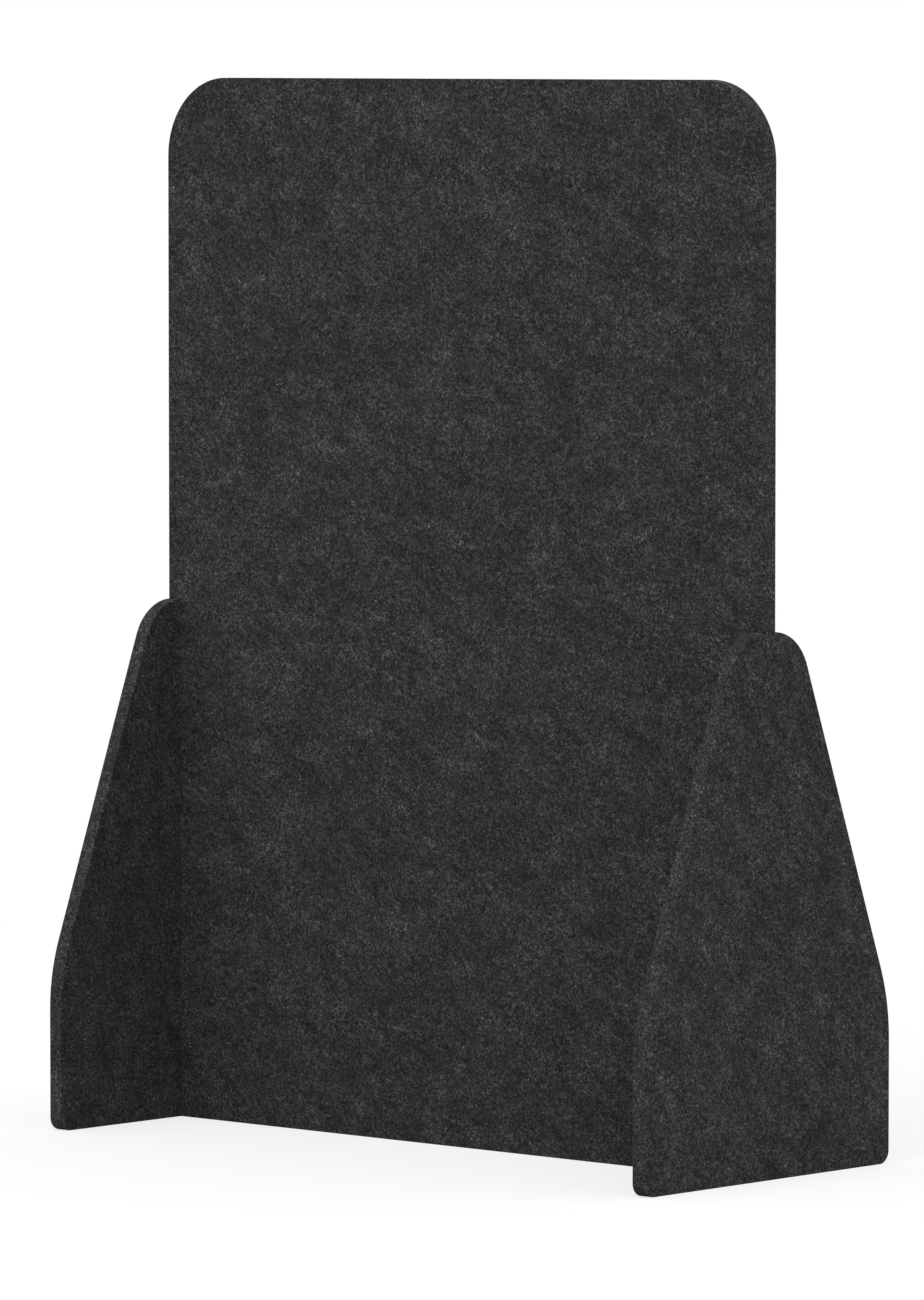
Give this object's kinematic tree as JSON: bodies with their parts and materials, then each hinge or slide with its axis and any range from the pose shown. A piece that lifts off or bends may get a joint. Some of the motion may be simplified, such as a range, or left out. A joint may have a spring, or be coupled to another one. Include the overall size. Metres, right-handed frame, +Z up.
{
  "type": "acoustic divider screen",
  "caption": "Free-standing felt divider screen: a tall flat panel with round top corners, held upright at its lower edges between two tapered side fins.",
  "frame": {"origin": "on the floor, at the middle of the panel's bottom edge", "axes": "+X along the panel, to the right for someone in front of it; +Y from the front to the rear, along the fins; +Z up"},
  "size_m": [1.2, 0.55, 1.6],
  "materials": {
    "charcoal_felt": "matte needled polyester felt, heathered charcoal, the same on faces and cut edges",
    "zinc_cam": "nickel-plated die-cast zinc, satin",
    "steel_bolt": "bright zinc-plated steel",
    "nylon_sleeve": "natural nylon",
    "beech_dowel": "plain beech"
  },
  "bodies": {
    "screen": {"divider_panel": "charcoal_felt", "left_fin": "charcoal_felt", "right_fin": "charcoal_felt", "bolt_left_low": "steel_bolt", "bolt_left_middle": "steel_bolt", "bolt_left_high": "steel_bolt", "bolt_right_low": "steel_bolt", "bolt_right_middle": "steel_bolt", "bolt_right_high": "steel_bolt", "sleeve_left_low": "nylon_sleeve", "sleeve_left_middle": "nylon_sleeve", "sleeve_left_high": "nylon_sleeve", "sleeve_right_low": "nylon_sleeve", "sleeve_right_middle": "nylon_sleeve", "sleeve_right_high": "nylon_sleeve", "dowel_left_low": "beech_dowel", "dowel_left_high": "beech_dowel", "dowel_right_low": "beech_dowel", "dowel_right_high": "beech_dowel"},
    "left_low_cam": {"cam_left_low": "zinc_cam"},
    "left_middle_cam": {"cam_left_middle": "zinc_cam"},
    "left_high_cam": {"cam_left_high": "zinc_cam"},
    "right_low_cam": {"cam_right_low": "zinc_cam"},
    "right_middle_cam": {"cam_right_middle": "zinc_cam"},
    "right_high_cam": {"cam_right_high": "zinc_cam"}
  },
  "joints": [
    {"name": "cam_left_low_turn", "type": "hinge", "parent": "screen", "child": "left_low_cam", "pos_m": [-0.542, 0, 0.12], "axis": [0, 1, 0], "range_deg": [0, 180]},
    {"name": "cam_left_middle_turn", "type": "hinge", "parent": "screen", "child": "left_middle_cam", "pos_m": [-0.542, 0, 0.4], "axis": [0, 1, 0], "range_deg": [0, 180]},
    {"name": "cam_left_high_turn", "type": "hinge", "parent": "screen", "child": "left_high_cam", "pos_m": [-0.542, 0, 0.68], "axis": [0, 1, 0], "range_deg": [0, 180]},
    {"name": "cam_right_low_turn", "type": "hinge", "parent": "screen", "child": "right_low_cam", "pos_m": [0.542, 0, 0.12], "axis": [0, 1, 0], "range_deg": [0, 180]},
    {"name": "cam_right_middle_turn", "type": "hinge", "parent": "screen", "child": "right_middle_cam", "pos_m": [0.542, 0, 0.4], "axis": [0, 1, 0], "range_deg": [0, 180]},
    {"name": "cam_right_high_turn", "type": "hinge", "parent": "screen", "child": "right_high_cam", "pos_m": [0.542, 0, 0.68], "axis": [0, 1, 0], "range_deg": [0, 180]}
  ]
}
